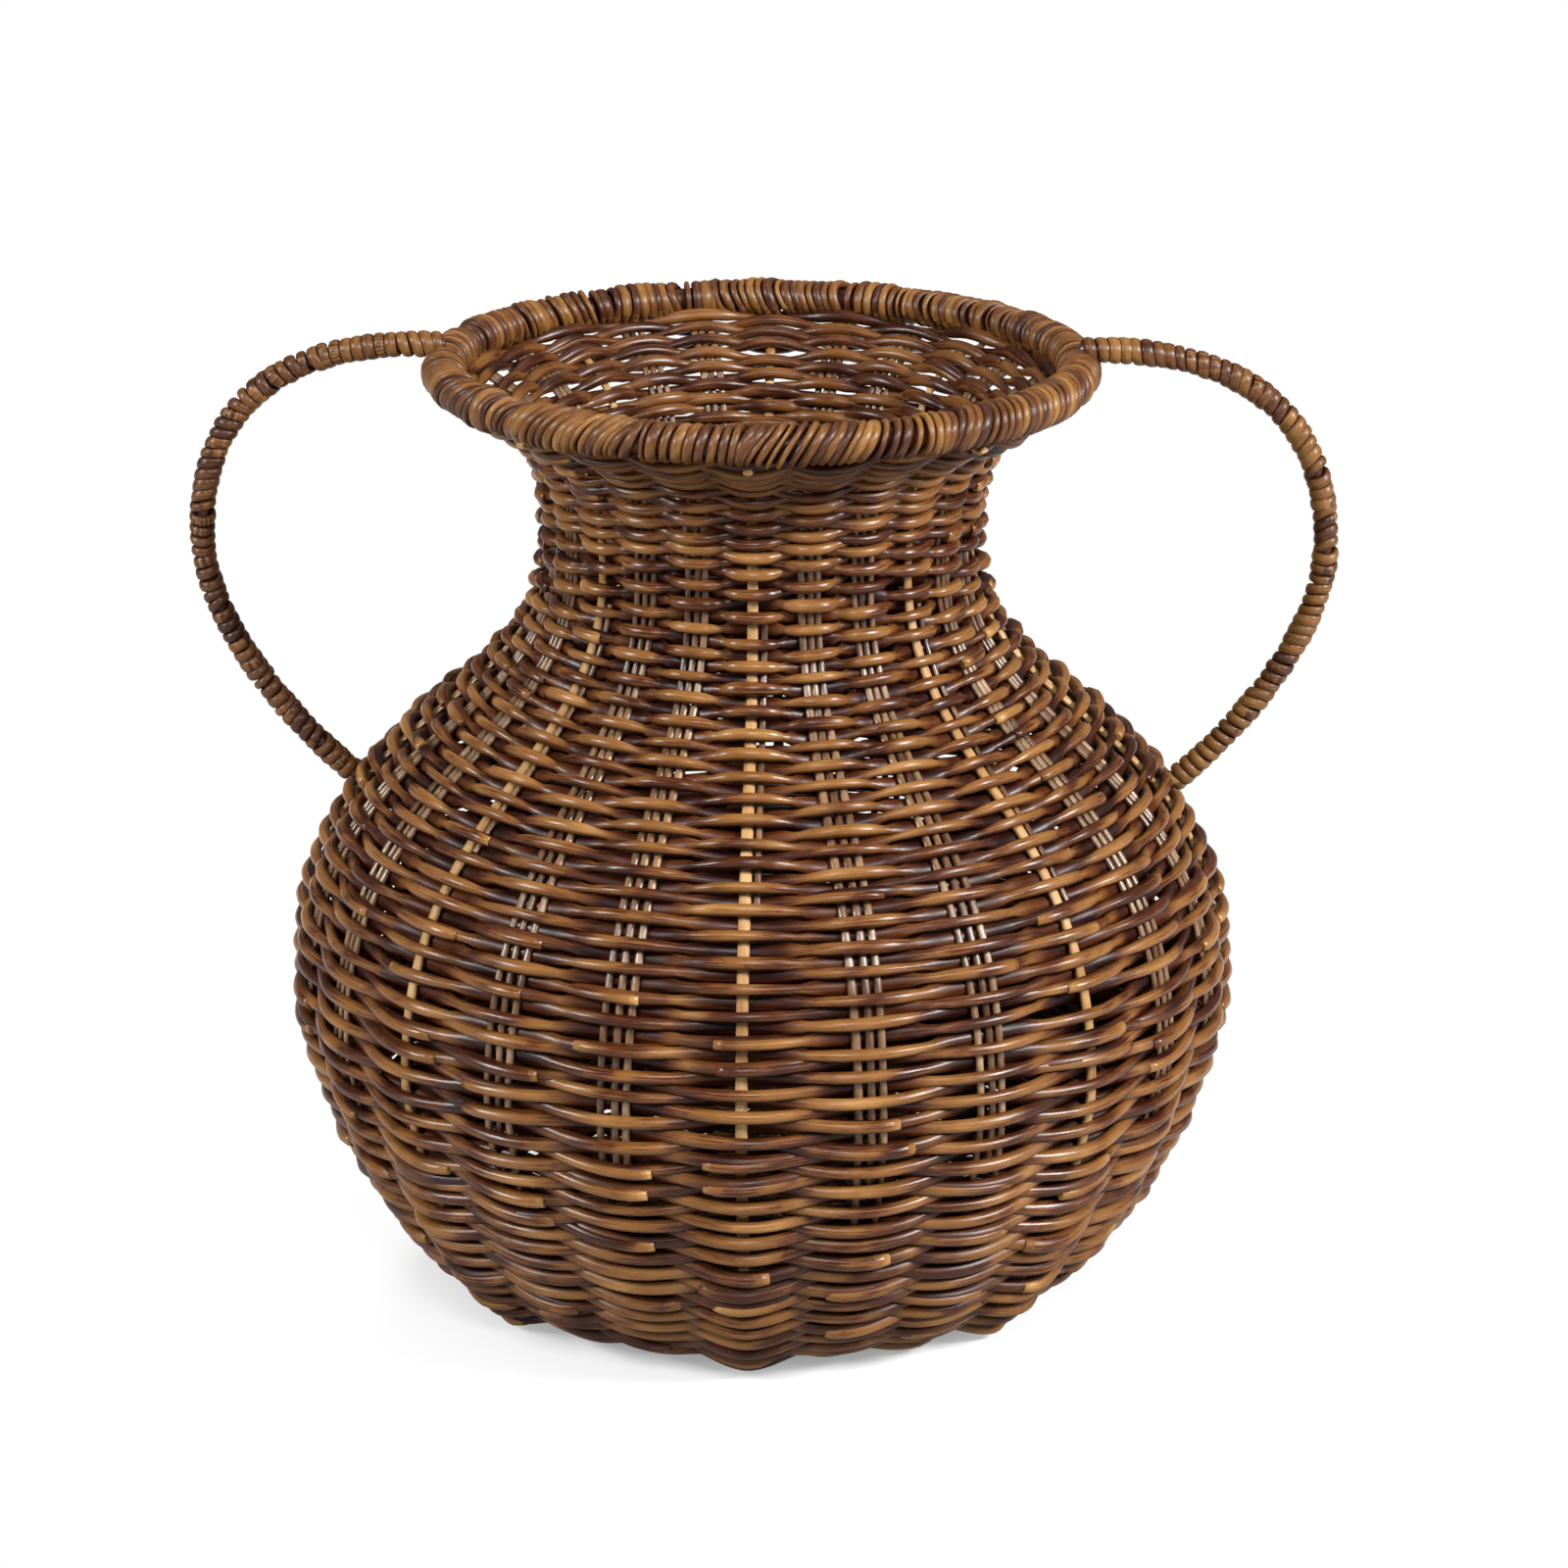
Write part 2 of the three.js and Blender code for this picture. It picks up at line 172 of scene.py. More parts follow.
weaveLook = dict(
    patchesPerCm=0.36, tongue=0.22, fibre=0.56, fleck=0.14, strandSpread=0.10,
    # on the next line, the dark brown and the two shade strengths set the painted shade in the crossings and
    # between the rods
    shadeTone=0.05, shadeMix=0.9, paintedShade=(0.25, 0.08, 0.03), rough=0.29, bump=0.3, gloss=0.25, coat=0.10,
    stops=[
        (0.33, (0.032, 0.0070, 0.0020)),  # near black brown
        (0.435, (0.073, 0.0200, 0.0062)),  # dark brown
        (0.465, (0.106, 0.0370, 0.0105)),
        (0.49, (0.145, 0.0575, 0.0140)),  # golden brown
        (0.60, (0.180, 0.0755, 0.0190)),
        (0.74, (0.265, 0.1280, 0.0380)),  # pale golden
        (0.90, (0.350, 0.1800, 0.0560)),  # fresh cane at the cut tips
    ],
)
frameLook = dict(
    weaveLook, patchesPerCm=0.5, fibre=0.35, strandSpread=0.05,
    shadeTone=0.0, shadeMix=0.85, rough=0.45, coat=0.0,
    stops=[
        (0.30, (0.190, 0.082, 0.026)),
        (0.45, (0.340, 0.178, 0.064)),
        (0.60, (0.440, 0.262, 0.112)),
        (0.75, (0.530, 0.345, 0.168)),
    ],
)
thinLook = dict(
    weaveLook, patchesPerCm=0.5, strandSpread=0.16,
    shadeTone=0.0, shadeMix=0.85, rough=0.30, gloss=0.42, coat=0.36,
    stops=[
        (0.30, (0.050, 0.020, 0.009)),
        (0.45, (0.120, 0.058, 0.026)),
        (0.60, (0.210, 0.118, 0.058)),
        (0.75, (0.310, 0.190, 0.105)),
    ],
)
bindingLook = dict(
    weaveLook, patchesPerCm=0.30, tongue=0.10, fibre=0.40, fleck=0.26, strandSpread=0.14,
    shadeTone=0.0, shadeMix=0.92, rough=0.36, bump=0.5,
    stops=[
        (0.34, (0.042, 0.0125, 0.0052)),
        (0.43, (0.074, 0.0250, 0.0080)),
        (0.49, (0.108, 0.0405, 0.0100)),
        (0.56, (0.152, 0.0635, 0.0145)),
        (0.72, (0.235, 0.1110, 0.0290)),
    ],
)
handleLook = dict(
    bindingLook, patchesPerCm=0.08, strandSpread=0.20, fleck=0.22,
    stops=[
        (0.34, (0.036, 0.0108, 0.0045)),
        (0.43, (0.064, 0.0218, 0.0070)),
        (0.49, (0.094, 0.0355, 0.0090)),
        (0.56, (0.134, 0.0565, 0.0130)),
        (0.72, (0.212, 0.1010, 0.0265)),
    ],
)
weaveCane = caneFinish("weaveCane", weaveLook)
footCane = caneFinish("footCane", dict(weaveLook, rough=0.37, coat=0.04))  # worn duller where it stands
frameCane = caneFinish("frameCane", frameLook)
thinCane = caneFinish("thinCane", thinLook)
bindingCane = caneFinish("bindingCane", bindingLook)
handleCane = caneFinish("handleCane", handleLook)
print("finishes made")


# Tubes from arrays

patternRange = 500.0  # each strand starts its pattern somewhere in this many centimetres


def unit(vectors):
    return vectors / np.linalg.norm(vectors, axis=-1, keepdims=True)


# length along each row of points, in centimetres
def lengthAlong(points):
    step = np.linalg.norm(np.diff(points, axis=1), axis=2)
    return np.concatenate([np.zeros((len(points), 1)), np.cumsum(step, 1)], 1) / 10


def smooth(low, high, value):
    share = np.clip((value - low) / (high - low), 0, 1)
    return share * share * (3 - 2 * share)


# slow wander: a few waves with thrown strengths and starts, one row for each strand
def wander(angle, waves, strength):
    total = np.zeros_like(angle)
    for wave in waves:
        size = dice.normal(0, strength, (len(angle), 1))
        start = dice.uniform(0, fullTurn, (len(angle), 1))
        total = total + size * np.cos(wave * angle + start)
    return total


# painted shade on the flanks of a rod's section, where it lies against its neighbours: share = 1 -
# |cos(turn)|^0.7, times lower on sideB's side and upper opposite
def flanks(sides, lower, upper):
    turn = np.arange(sides) * fullTurn / sides
    return (1 - np.abs(np.cos(turn)) ** 0.7) * np.where(np.sin(turn) > 0, lower, upper)


# many tubes at once: point = centre + halfA cos(turn) sideA + halfB sin(turn) sideB, where sideA is the
# given way made square to the tube and sideB = way x sideA. Arrays are strands by steps, the painted shade
# (pale cut tips below 0) also by sides; both ends are closed by a flat cap
def addTubes(name, centre, facing, halfA, halfB, sides, strand, shadeAndPaleTip, finish):
    way = unit(np.gradient(centre, axis=1))
    sideA = unit(facing - (facing * way).sum(-1, keepdims=True) * way)
    sideB = np.cross(way, sideA)
    turn = np.arange(sides) * fullTurn / sides
    points = centre[:, :, None] + halfA[:, :, None, None] * np.cos(turn)[:, None] * sideA[:, :, None]
    points = points + halfB[:, :, None, None] * np.sin(turn)[:, None] * sideB[:, :, None]
    grid = points.shape[:3]
    number = np.arange(np.prod(grid)).reshape(grid)
    beside = np.roll(number, -1, 2)
    quads = np.stack([number[:, :-1], beside[:, :-1], beside[:, 1:], number[:, 1:]], -1)
    caps = np.stack([number[:, 0, ::-1], number[:, -1]], 1)
    along = lengthAlong(centre) + dice.uniform(0, patternRange, (len(centre), 1))
    u = np.broadcast_to(along[..., None], grid)
    v = np.broadcast_to(np.arange(sides) / sides, grid)
    w = v + 1 / sides
    quadU = np.stack([u[:, :-1], u[:, :-1], u[:, 1:], u[:, 1:]], -1)
    quadV = np.stack([v[:, :-1], w[:, :-1], w[:, 1:], v[:, 1:]], -1)
    capU = np.stack([u[:, 0], u[:, -1]], 1)
    capV = np.stack([v[:, 0, ::-1], v[:, -1]], 1)
    uv = [np.stack(pair, -1).ravel() for pair in ((quadU, quadV), (capU, capV))]
    mesh = bpy.data.meshes.new(name)
    mesh.vertices.add(number.size)
    mesh.vertices.foreach_set("co", (points * mm).ravel())
    corners = np.concatenate([quads.ravel(), caps.ravel()])
    mesh.loops.add(corners.size)
    mesh.loops.foreach_set("vertex_index", corners)
    quadCount = quads.size // 4
    capCount = caps.size // sides
    starts = np.concatenate([np.arange(quadCount) * 4, quadCount * 4 + np.arange(capCount) * sides])
    mesh.polygons.add(starts.size)
    mesh.polygons.foreach_set("loop_start", starts)
    mesh.polygons.foreach_set("use_smooth", np.repeat([True, False], [quadCount, capCount]))
    mesh.update(calc_edges=True)
    mesh.uv_layers.new(name="lengthAndTurn").data.foreach_set("uv", np.concatenate(uv))
    for key, values in (("strand", strand[..., None]), ("shadeAndPaleTip", shadeAndPaleTip)):
        spread = np.broadcast_to(values, grid).ravel()
        mesh.attributes.new(key, "FLOAT", "POINT").data.foreach_set("value", spread)
    mesh.validate()
    mesh.materials.append(finish)
    piece = bpy.data.objects.new(name, mesh)
    bpy.context.scene.collection.objects.link(piece)
    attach(piece, "root")
    print(name, quadCount * 2, "triangles")
    return piece


# Stake line: three cubic curves in radius and height, then read off by length

wallShape = dict(
    foot=(95.0, 6.2), footAngle=30.0, footRun=33.0, footIn=0.9,
    belly=(140.5, 92.0), heelRise=12.0, shoulderRise=85.0,
    neck=(62.7, 232.0), throatRise=60.0, neckRise=40.0,
    rim=(94.2, 282.0), rimTube=6.5, collarAngle=50.0, collarRun=12.0,
)


def curve(a, b, c, d, count=300):
    t = np.linspace(0, 1, count)[:, None]
    a, b, c, d = (np.array(p, float) for p in (a, b, c, d))
    return (1 - t) ** 3 * a + 3 * (1 - t) ** 2 * t * b + 3 * (1 - t) * t * t * c + t ** 3 * d


def slope(degrees):
    return np.array([math.cos(math.radians(degrees)), math.sin(math.radians(degrees))])


def stakeLine(shape):
    foot, belly, neck, rimMiddle = (np.array(shape[k]) for k in ("foot", "belly", "neck", "rim"))
    out = slope(shape["collarAngle"])
    mouth = rimMiddle - shape["rimTube"] * out
    footEnd = foot + shape["footRun"] * slope(shape["footAngle"])
    pieces = [
        curve(foot, footEnd, belly - (0, shape["heelRise"]), belly),
        curve(belly, belly + (0, shape["shoulderRise"]), neck - (0, shape["throatRise"]), neck)[1:],
        curve(neck, neck + (0, shape["neckRise"]), mouth - shape["collarRun"] * out, mouth)[1:],
    ]
    return np.concatenate(pieces)


linePoints = stakeLine(wallShape)
lineLength = np.concatenate([[0], np.cumsum(np.linalg.norm(np.diff(linePoints, axis=0), axis=1))])
lineWay = unit(np.gradient(linePoints, lineLength, axis=0))
wallLength = lineLength[-1]


# radius, height and the way out of the wall, at a length along the stake line; below 0 it runs into the base
def onLine(s):
    radius, height, wayR, wayZ = (
        np.interp(s, lineLength, values) for values in (*linePoints.T, *lineWay.T))
    return radius + np.where(s < 0, s * wallShape["footIn"], 0), height, wayZ, -wayR


# a point of the wall: out along the normal from the stake line, turned to theta
def onWall(s, theta, out):
    radius, height, outR, outZ = onLine(s)
    r = radius + out * outR
    return np.stack([r * np.cos(theta), r * np.sin(theta), height + out * outZ], -1)


def wallNormal(s, theta):
    _, _, outR, outZ = onLine(s)
    return np.stack([outR * np.cos(theta), outR * np.sin(theta), outZ], -1)


def lengthAtHeight(height):
    return float(np.interp(height, linePoints[:, 1], lineLength))


# Woven rows

stakePlaces = 24
frameEvery = 3  # every third place holds a frame stake, the others three thin rods

# the heights where a change on the wall starts and where it is full
bands = dict(
    sole=(18, 9), foot=(26, 8), footRod=(74, 50), ridge=(78, 40), waist=(90, 130), clear=(130, 170),
    neckWaist=(135, 175), shoulderRod=(138, 160), throat=(203, 217), collar=(232, 248),
    collarRod=(255, 268), rim=(266, 278), stakesIn=(196, 216), stakesOut=(262, 246),
)


def inBand(name, height):
    return smooth(*bands[name], height)


# lengths are in millimetres, and a rod's size is its half thickness. A wander is its waves and their
# strength, and pairs such as nearFrame are from where a change starts to where it is full
rows = dict(
    rod=1.84, footRod=2.12, shoulderRod=1.74, throatRod=1.92, neckRod=1.78, collarRod=1.64,
    pitchAt=((0, 3.3), (60, 3.2), (82, 3.55), (228, 3.55), (241, 2.35), (252, 2.4), (263, 2.75), (290, 2.75)),
    pastTop=1.0, fineSteps=2000, stepsPerPlace=13, lapSteps=16, sides=8,
    firm=(0.45, 0.45), firmRadius=(125, 60), collarPower=0.25,
    frameLift=2.9, thinLift=2.55, collarLift=0.75, footLift=0.65, nearFrame=(0.6, 0.1),
    ridge=1.9, lowRidge=1.0, ridgeReach=(0.75, -0.1), frontDrop=0.3,
    liftWander=((3, 5, 8, 13), 0.11), levelWander=((1, 2, 3, 7), 0.25), rowSpread=0.25,
    lap=32.0, lapOut=1.1, lapUp=0.55, tipLead=0.3, leadSpread=0.12, sideLapsFrom=170.0,
    thickWander=((4, 9, 17), 0.04), rodSpread=0.06, soleThin=0.12,
    tipThin=0.1, tipThinRun=1.0, tipFlat=0.3, tipFlatRun=5.0, tailThin=0.45, tailThinRun=9.0,
    waist=0.22, neckWaist=0.13, waistFrom=(0.85, 0.05), waistFront=(-0.4, 0.15),
    hidden=0.42, hiddenFrom=(0.2, -0.6), collarOpen=0.7,
)
# painted shade along the rows: in the crossings, at the collar, under the rim, beside the next rod's tip, on
# the inner side and on the flanks; the pale values set the pale cut tips
rowShadeAndPaleTips = dict(
    darkFrom=-0.6, clearFrom=0.38, neckClear=0.36, collarShade=0.6, rimShade=0.35,
    tailShade=0.85, shadeStarts=6.0, shadeFull=1.0, insideShade=0.4, lowFlank=0.75, highFlank=0.3,
    paleTip=3.6, paleShare=0.65, paleTone=5.2,
)


# where the rows lie along the wall, by the pitch given for each height: closest together over the neck
def rowLevels(look):
    s = np.linspace(0, wallLength + look["pastTop"], look["fineSteps"])
    pitch = np.interp(onLine(s)[1], *zip(*look["pitchAt"]))
    passed = np.concatenate([[0], np.cumsum(np.diff(s) / pitch[1:])])
    count = int(round(passed[-1]))
    return np.interp((np.arange(count) + 0.5) * passed[-1] / count, passed, s)


# 1 where a rod is in front of a stake and -1 behind: wave = tanh(k cos(pi (place + row))) / tanh(k), with a
# larger k where the wall is narrow. Near the rim a power keeps it closer to the wall's middle between stakes
def rodWave(look, place, number, radius, collar):
    least, more = look["firm"]
    firm = least + more * smooth(*look["firmRadius"], radius)
    wave = np.tanh(firm * np.cos(np.pi * (place + number))) / np.tanh(firm)
    return wave * np.abs(wave) ** (look["collarPower"] * collar)


# how far a rod is lifted at full wave: most over the frame stakes, less at the collar and the foot
def liftStrength(look, near, height, collar):
    strength = look["thinLift"] + (look["frameLift"] - look["thinLift"]) * smooth(*look["nearFrame"], near)
    strength = strength * (1 + (look["collarLift"] - 1) * collar)
    return strength * (1 + (look["footLift"] - 1) * inBand("foot", height))


# half thickness along a rod: by the height, a little uneven, thinner at its ends, and from the belly up drawn
# in at the front, where it goes through the wall
def rodThick(look, theta, wave, height, collar, fromTip, toEnd):
    throat = inBand("throat", height)
    thick = look["rod"] + (look["footRod"] - look["rod"]) * inBand("footRod", height)
    thick = thick + (look["shoulderRod"] - look["rod"]) * inBand("shoulderRod", height) * (1 - throat)
    thick = thick + (look["throatRod"] - look["rod"]) * throat * (1 - collar)
    thick = thick + (look["neckRod"] - look["rod"]) * collar
    thick = thick + (look["collarRod"] - look["neckRod"]) * inBand("collarRod", height)
    uneven = 1 + wander(theta, *look["thickWander"])
    thick = thick * uneven * (1 + dice.normal(0, look["rodSpread"], (len(theta), 1)))
    tip = 1 - look["tipThin"] * smooth(look["tipThinRun"], 0, fromTip)
    tail = 1 - look["tailThin"] * smooth(look["tailThinRun"], 0, toEnd)
    thick = thick * tip * tail
    thick = thick * (1 - look["soleThin"] * inBand("sole", height))
    waist = look["waist"] * inBand("waist", height)
    waist = waist + look["neckWaist"] * inBand("neckWaist", height) * (1 - collar)
    drawnIn = waist * smooth(*look["waistFrom"], np.abs(wave)) * smooth(*look["waistFront"], wave)
    return thick * (1 - drawnIn)


# painted shade: dark where a rod goes behind a stake, on its inner side, on its flanks between the rods,
# under the rim, and in the shade of the next rod's tip. Below 0 it is pale cane, at most of the cut tips
def rodShadeAndPaleTip(paintedShade, wave, height, collar, fromTip, toEnd, heading, lap, sides):
    clear = paintedShade["clearFrom"] + paintedShade["neckClear"] * inBand("clear", height)
    shadeAndPaleTip = (1 - smooth(paintedShade["darkFrom"], clear, wave)) * (1 - collar)
    shadeAndPaleTip = shadeAndPaleTip + paintedShade["collarShade"] * (1 - np.abs(wave)) * collar
    shadeAndPaleTip = np.maximum(shadeAndPaleTip, paintedShade["rimShade"] * inBand("rim", height))
    shade = smooth(lap + paintedShade["shadeStarts"], lap + paintedShade["shadeFull"], toEnd)
    shadeAndPaleTip = np.maximum(shadeAndPaleTip, paintedShade["tailShade"] * shade)
    pale = smooth(paintedShade["paleTip"], 0, fromTip) * (dice.random((len(wave), 1)) < paintedShade["paleShare"])
    inside = paintedShade["insideShade"] * np.maximum(-np.cos(np.arange(sides) * fullTurn / sides), 0)
    one = flanks(sides, paintedShade["lowFlank"], paintedShade["highFlank"])
    other = flanks(sides, paintedShade["highFlank"], paintedShade["lowFlank"])
    under = np.where(heading[:, None] > 0, one, other)
    shadeAndPaleTip = np.maximum(shadeAndPaleTip[..., None], (under + inside)[:, None])
    return shadeAndPaleTip * (1 - pale[..., None]) - paintedShade["paleTone"] * pale[..., None]


# each row of a course is a few rods, each a little longer than its share of the turn, that go out of the
# wall and in again as lift = strength * wave
def weaveRows(look, paintedShade, levels, firstNumber, perRow):
    rowCount = len(levels)
    count = rowCount * perRow
    level = np.repeat(levels, perRow)
    number = firstNumber + np.repeat(np.arange(rowCount), perRow)
    radius, height = (values[:, None] for values in onLine(level)[:2])
    collar = inBand("collar", height)
    share = stakePlaces // perRow
    # a rod's tip lies in front of a stake, high up beside a handle, and the rods of a row run the same way
    first = 2 * dice.integers(0, stakePlaces // 2, rowCount)
    atSides = 2 * dice.integers(-1, 2, rowCount)
    first = np.where(levels > look["sideLapsFrom"], atSides, first)
    first = np.repeat(first, perRow) + number % 2 + np.tile(np.arange(perRow) * share, rowCount)
    heading = np.repeat(np.where(dice.random(rowCount) < 0.5, 1, -1), perRow)
    lead = look["tipLead"] + dice.uniform(-look["leadSpread"], look["leadSpread"], count)
    reach = fullTurn / perRow + look["lap"] / radius
    along = reach * np.linspace(0, 1, share * look["stepsPerPlace"] + look["lapSteps"])
    theta = (first - heading * lead)[:, None] * fullTurn / stakePlaces + heading[:, None] * along
    place = theta * stakePlaces / fullTurn
    wave = rodWave(look, place, number[:, None], radius, collar)
    near = np.abs((place / frameEvery + 0.5) % 1 - 0.5) * frameEvery  # places from the next frame stake
    # the two ends lie over each other: the first outside and lower, the last inside and higher
    fromTip = along * radius
    toEnd = (reach - along) * radius
    early = smooth(look["lap"], 0, fromTip)
    late = smooth(look["lap"], 0, toEnd)
    lift = wave * liftStrength(look, near, height, collar)
    lift = lift + wander(theta, *look["liftWander"]) + look["lapOut"] * (early - late)
    # low down the wall comes to a ridge at each frame stake
    ridge = look["ridge"] * inBand("ridge", height) + look["lowRidge"] * inBand("foot", height)
    lift = lift + ridge * smooth(*look["ridgeReach"], near)
    s = level[:, None] + wander(theta, *look["levelWander"]) + look["lapUp"] * (late - early)
    ownLevel = np.repeat(dice.normal(0, look["rowSpread"], rowCount), perRow)[:, None]
    s = s + ownLevel - look["frontDrop"] * wave
    # a tip is cut flat, and behind the stakes a rod is taller, which closes the gaps between the rows
    thick = rodThick(look, theta, wave, height, collar, fromTip, toEnd)
    deep = thick * (1 - look["tipFlat"] * smooth(look["tipFlatRun"], 0, fromTip))
    fill = look["hidden"] * smooth(*look["hiddenFrom"], wave) * (1 - look["collarOpen"] * collar)
    tall = thick * (1 + fill)
    # painted shade where the rods cross, lie between each other and sit beside a tip, and the pale cut tips
    shadeAndPaleTip = rodShadeAndPaleTip(paintedShade, wave, height, collar, fromTip, toEnd, heading, look["lap"], look["sides"])
    strand = np.broadcast_to(dice.random((count, 1)), theta.shape)
    return onWall(s, theta, lift), wallNormal(s, theta), deep, tall, look["sides"], strand, shadeAndPaleTip


# the height where each course ends and the next starts, and how many rods make up a row of it
courses = dict(
    weave_foot=dict(top=48.5, rodsPerRow=4, finish=footCane),
    weave_lower_belly=dict(top=92.0, rodsPerRow=4, finish=weaveCane),
    weave_upper_belly=dict(top=143.0, rodsPerRow=4, finish=weaveCane),
    weave_shoulder=dict(top=184.0, rodsPerRow=2, finish=weaveCane),
    weave_neck=dict(top=232.0, rodsPerRow=2, finish=weaveCane),
    weave_collar=dict(top=300.0, rodsPerRow=2, finish=weaveCane),
)
levels = rowLevels(rows)
below = -1.0
for node, course in courses.items():
    top = lengthAtHeight(course["top"])
    pick = np.flatnonzero((levels > below) & (levels <= top))
    arrays = weaveRows(rows, rowShadeAndPaleTips, levels[pick], pick[0], course["rodsPerRow"])
    piece = addTubes(node + "_rows", *arrays, course["finish"])
    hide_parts(node)
    below = top
print(len(levels), "woven rows")


# Stakes: rods that run up the wall on the stake line, set to the side by a few millimetres

stakes = dict(
    inBase=14.0, overTop=2.0, steps=110,
    framePart=1.75, frameDeep=0.58, frameTaper=0.2, taperFrom=0.6, frameSides=12,
    tipLift=4.4, tipRun=6.0, frameWave=60.0, frameWander=((1, 2), 0.2),
    frameShade=(32, 52, 0.4), frameShadeShare=0.9,
    thinPart=1.2, thinDeep=0.75, thinTaper=0.14, taperRadius=(90, 60), thinSpread=0.05, thinSides=8,
    thinShort=3.0, middleFrom=78.0, middleSpread=6.0,
    apart=2.55, apartMore=1.2, apartRadius=(68, 138), footApart=0.6, apartHeight=(40, 84),
    thinWave=50.0, thinWander=((1, 2, 3), 0.14), outWave=40.0, outWander=((1, 2, 3), 0.12),
    thinShade=(62, 82, 0.6),
    besidePart=0.95, besideAway=3.6, besideFrom=150.0, besideSpread=8.0, besideTo=222.0,
    besideWander=((1, 2), 0.15),
)


# across shifts a rod sideways, along the tangent of its place's circle
def addStakes(name, angle, across, s, halfWide, halfDeep, out, shadeAndPaleTip, finish, sides):
    theta = np.broadcast_to(angle[:, None], s.shape)
    tangent = np.stack([-np.sin(theta), np.cos(theta), np.zeros_like(theta)], -1)
    centre = onWall(s, theta, out) + across[..., None] * tangent
    facing = wallNormal(np.maximum(s, 0), theta)
    strand = np.broadcast_to(dice.random((len(angle), 1)), s.shape)
    return addTubes(name, centre, facing, halfDeep, halfWide, sides, strand, shadeAndPaleTip[..., None], finish)


# stakes get painted shade low down and at the neck, where little light comes between the rows
def shaded(s, low, high, neckShare):
    height = onLine(s)[1]
    neck = inBand("stakesIn", height) * inBand("stakesOut", height)
    return np.maximum(smooth(high, low, height), neckShare * neck)


placeAngle = np.arange(stakePlaces) * fullTurn / stakePlaces
isFrame = np.arange(stakePlaces) % frameEvery == 0
frameAngle = placeAngle[isFrame]
thinAngle = placeAngle[~isFrame]
upTo = wallLength + stakes["overTop"]


def addFrameStakes(look):
    s = np.broadcast_to(np.linspace(-look["inBase"], upTo, look["steps"]), (len(frameAngle), look["steps"]))
    taper = look["frameTaper"] * smooth(wallLength * look["taperFrom"], wallLength, s)
    thick = look["framePart"] * (1 - taper)
    out = look["tipLift"] * smooth(wallLength - look["tipRun"], wallLength, s)
    across = wander(s / look["frameWave"], *look["frameWander"])
    shadeAndPaleTip = look["frameShadeShare"] * shaded(s, *look["frameShade"])
    piece = addStakes(
        "frame_stakes", frameAngle, across, s, thick, thick * look["frameDeep"], out, shadeAndPaleTip,
        frameCane, look["frameSides"])
    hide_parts(*("frame_stake_%d" % (k + 1) for k in range(len(frameAngle))))


# three thin rods at each place, close together near the foot, where the middle one starts on the lower
# belly; and one thin rod beside each frame stake, on the shoulder
def addThinStakes(look):
    count = len(thinAngle)
    share = np.linspace(0, 1, look["steps"])
    row = np.tile([-1.0, 0.0, 1.0], count)[:, None]
    spread = dice.uniform(-look["middleSpread"], look["middleSpread"], (3 * count, 1))
    middleFrom = np.interp(look["middleFrom"] + spread, linePoints[:, 1], lineLength)
    first = np.where(row == 0, middleFrom, -look["inBase"])
    s = first + (upTo - look["thinShort"] - first) * share
    radius, height = onLine(s)[:2]
    apart = look["apart"] + look["apartMore"] * smooth(*look["apartRadius"], radius)
    apart = apart * (look["footApart"] + (1 - look["footApart"]) * smooth(*look["apartHeight"], height))
    across = row * apart + wander(s / look["thinWave"], *look["thinWander"])
    thick = look["thinPart"] * (1 - look["thinTaper"] * smooth(*look["taperRadius"], radius))
    thick = thick * (1 + dice.normal(0, look["thinSpread"], (len(s), 1)))
    spread = dice.uniform(-look["besideSpread"], look["besideSpread"], (len(frameAngle), 1))
    besideFirst = np.interp(look["besideFrom"] + spread, linePoints[:, 1], lineLength)
    besideS = besideFirst + (lengthAtHeight(look["besideTo"]) - besideFirst) * share
    besideAcross = look["besideAway"] + wander(besideS / look["thinWave"], *look["besideWander"])
    s = np.concatenate([s, besideS])
    across = np.concatenate([across, besideAcross])
    thick = np.concatenate([thick, np.full(besideS.shape, look["besidePart"])])
    angle = np.concatenate([np.repeat(thinAngle, 3), frameAngle])
    out = wander(s / look["outWave"], *look["outWander"])
    piece = addStakes(
        "thin_stakes", angle, across, s, thick, thick * look["thinDeep"], out,
        shaded(s, *look["thinShade"]), thinCane, look["thinSides"])
    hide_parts(*("stake_bundle_%d" % (k + 1) for k in range(count)))


addFrameStakes(stakes)
addThinStakes(stakes)


# Bindings: one strand wound round a core. The core gives a point, a side way and an up way at each
# length u; the strand's middle is core(u) + far (cos(turn) side + sin(turn) up)

def addBinding(name, core, u, turn, far, wide, thick, strand, finish, edges, sides=8):
    point, side, up = core(u)
    around = np.cos(turn)[:, None] * side + np.sin(turn)[:, None] * up
    centre = (point + far[:, None] * around)[None]
    # painted shade on the flanks of each turn, where it lies against the next turns
    shadeAndPaleTip = np.broadcast_to(flanks(sides, edges, edges), (1, len(u), sides))
    return addTubes(name, centre, around[None], thick[None], wide[None], sides, strand[None], shadeAndPaleTip, finish)


# for the rim and the handles: more groups than any binding has, turns to ease in, and a wider gap's size
winding = dict(mostGroups=400, easeTurns=0.8, wideGap=0.9)


# values thrown once for each group of turns, held over the group and eased in at its start
def byGroup(turns, low, high, shortest, longest):
    ends = np.cumsum(dice.integers(shortest, longest + 1, winding["mostGroups"]))
    values = dice.uniform(low, high, winding["mostGroups"])
    group = np.searchsorted(ends, turns, side="right")
    begin = np.where(group > 0, ends[group - 1], 0)
    before = values[np.maximum(group - 1, 0)]
    return before + (values[group] - before) * smooth(0, winding["easeTurns"], turns - begin)


